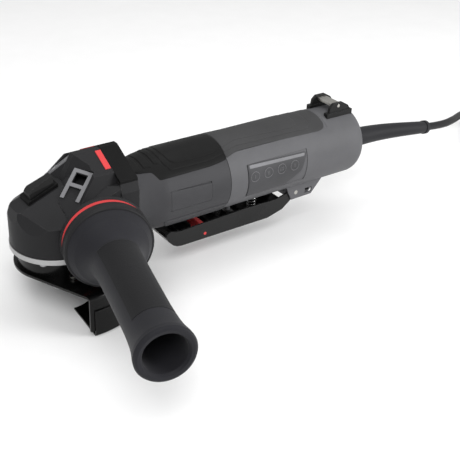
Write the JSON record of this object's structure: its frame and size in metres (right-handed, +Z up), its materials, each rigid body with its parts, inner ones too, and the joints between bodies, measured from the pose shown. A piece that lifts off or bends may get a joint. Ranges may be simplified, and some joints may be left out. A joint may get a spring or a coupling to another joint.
{
  "type": "angle grinder",
  "caption": "Corded angle grinder with a paddle switch, side handle, closed cutting guard, vented gear head, tether anchor and a coiled lead.",
  "frame": {"origin": "on the spindle axis, where the free M14 thread meets the pilot face of the inner flange", "axes": "+Z up along the spindle, away from its free end; +X along the motor axis towards the tail; the side handle points towards -Y"},
  "size_m": [0.7705, 0.2822, 0.1267],
  "materials": {
    "case_paint": "satin",
    "hood_plastic": "matte",
    "trim_grey": "satin",
    "accent_red": "satin",
    "band_black": "satin",
    "cast_aluminium": "cast",
    "screw_steel": "zinc",
    "bearing_steel": "ground",
    "felt": "felt",
    "spindle_steel": "ground",
    "gear_steel": "machined",
    "core_iron": "laminated",
    "copper": "enamelled",
    "fan_plastic": "moulded",
    "brass": "drawn",
    "housing_charcoal": "fine grain",
    "pad_black": "matte",
    "housing_grey": "fine grain",
    "pad_grey": "matte",
    "panel_grey": "smooth",
    "button_black": "satin",
    "spring_steel": "drawn",
    "guard_black": "gloss black",
    "lever_steel": "zinc",
    "disc_black": "satin",
    "grip_rubber": "matte",
    "inlay_rubber": "matte",
    "paddle_black": "gloss",
    "bracket_black": "satin",
    "bush_rubber": "matte",
    "cord_rubber": "matte",
    "tie_fabric": "woven",
    "plug_rubber": "matte",
    "pin_chrome": "polished"
  },
  "bodies": {
    "body": {"gear_case": "case_paint", "vent_hood": "hood_plastic", "vent_frames": "trim_grey", "hood_accent_strip": "accent_red", "neck_band": "band_black", "bearing_plate": "cast_aluminium", "case_screws": "screw_steel", "spindle_bearing": "bearing_steel", "spindle_bush": "bearing_steel", "dust_seal": "felt", "fan_baffle": "fan_plastic", "stator": "core_iron", "field_coils": "copper", "motor_bearings": "bearing_steel", "bearing_bridge": "fan_plastic", "brush_gear": "brass", "motor_housing": "housing_charcoal", "front_top_pad": "pad_black", "rear_housing_left": "housing_grey", "rear_housing_right": "housing_grey", "rear_top_pad": "pad_grey", "side_panels": "panel_grey", "housing_screws": "screw_steel", "lock_guide": "band_black", "lock_spring": "spring_steel", "handle_stud": "spindle_steel", "handle_disc": "disc_black", "handle_ring": "accent_red", "handle_grip": "grip_rubber", "handle_inlay": "inlay_rubber", "paddle_pin": "lever_steel", "paddle_spring": "spring_steel", "switch_body": "button_black", "control_module": "fan_plastic", "tether_bracket": "bracket_black", "tether_bar": "lever_steel", "cord_bush": "bush_rubber", "power_cord": "cord_rubber", "cord_coil": "cord_rubber", "cord_tie": "tie_fabric", "plug_body": "plug_rubber", "plug_pins": "pin_chrome"},
    "spindle": {"spindle": "spindle_steel", "inner_flange": "spindle_steel", "bevel_gear": "gear_steel"},
    "armature": {"pinion": "gear_steel", "armature_shaft": "spindle_steel", "armature_core": "core_iron", "armature_windings": "copper", "commutator": "copper", "fan": "fan_plastic"},
    "guard": {"guard_shell": "guard_black", "guard_bottom_cover": "guard_black", "guard_collar": "guard_black"},
    "guard_lever": {"guard_lever": "lever_steel"},
    "lock_button": {"lock_button": "button_black", "lock_pin": "spindle_steel"},
    "paddle": {"paddle": "paddle_black"},
    "lock_off_lever": {"lock_off_lever": "accent_red"},
    "switch_plunger": {"switch_plunger": "trim_grey"}
  },
  "joints": [
    {"name": "armature_spin", "type": "hinge", "parent": "body", "child": "armature", "pos_m": [0.1, 0, 0.05], "axis": [1, 0, 0], "continuous": true},
    {"name": "spindle_spin", "type": "hinge", "parent": "body", "child": "spindle", "pos_m": [0, 0, 0], "axis": [0, 0, 1], "continuous": true},
    {"name": "guard_turn", "type": "hinge", "parent": "body", "child": "guard", "pos_m": [0, 0, 0.015], "axis": [0, 0, 1], "range_deg": [-80, 80]},
    {"name": "guard_lever_release", "type": "hinge", "parent": "guard", "child": "guard_lever", "pos_m": [-0.00516, -0.03674, 0.0123], "axis": [0, 0, -1], "range_deg": [0, 35], "stiffness_Nm_per_rad": 0.05, "springref_deg": -17.19},
    {"name": "spindle_lock_press", "type": "slide", "parent": "body", "child": "lock_button", "axis": [0, 0, -1], "range_m": [0, 0.0045], "stiffness_N_per_m": 900, "springref_m": -0.002, "deforming": ["lock_spring"]},
    {"name": "paddle_press", "type": "hinge", "parent": "body", "child": "paddle", "pos_m": [0.239, 0, 0.014], "axis": [0, 1, 0], "range_deg": [0, 2.2], "stiffness_Nm_per_rad": 2, "springref_deg": -8.59, "deforming": ["paddle_spring"]},
    {"name": "lock_off_tilt", "type": "hinge", "parent": "paddle", "child": "lock_off_lever", "pos_m": [0.136, 0, -0.0005], "axis": [0, 1, 0], "range_deg": [0, 30], "stiffness_Nm_per_rad": 0.02, "springref_deg": -17.19},
    {"name": "switch_press", "type": "slide", "parent": "body", "child": "switch_plunger", "axis": [0, 0, 1], "range_m": [0, 0.0026]}
  ],
  "couplings": [
    {"joint": "spindle_spin", "follows": "armature_spin", "ratio": 0.31429},
    {"joint": "switch_press", "follows": "paddle_press", "m_per_rad": 0.067}
  ]
}
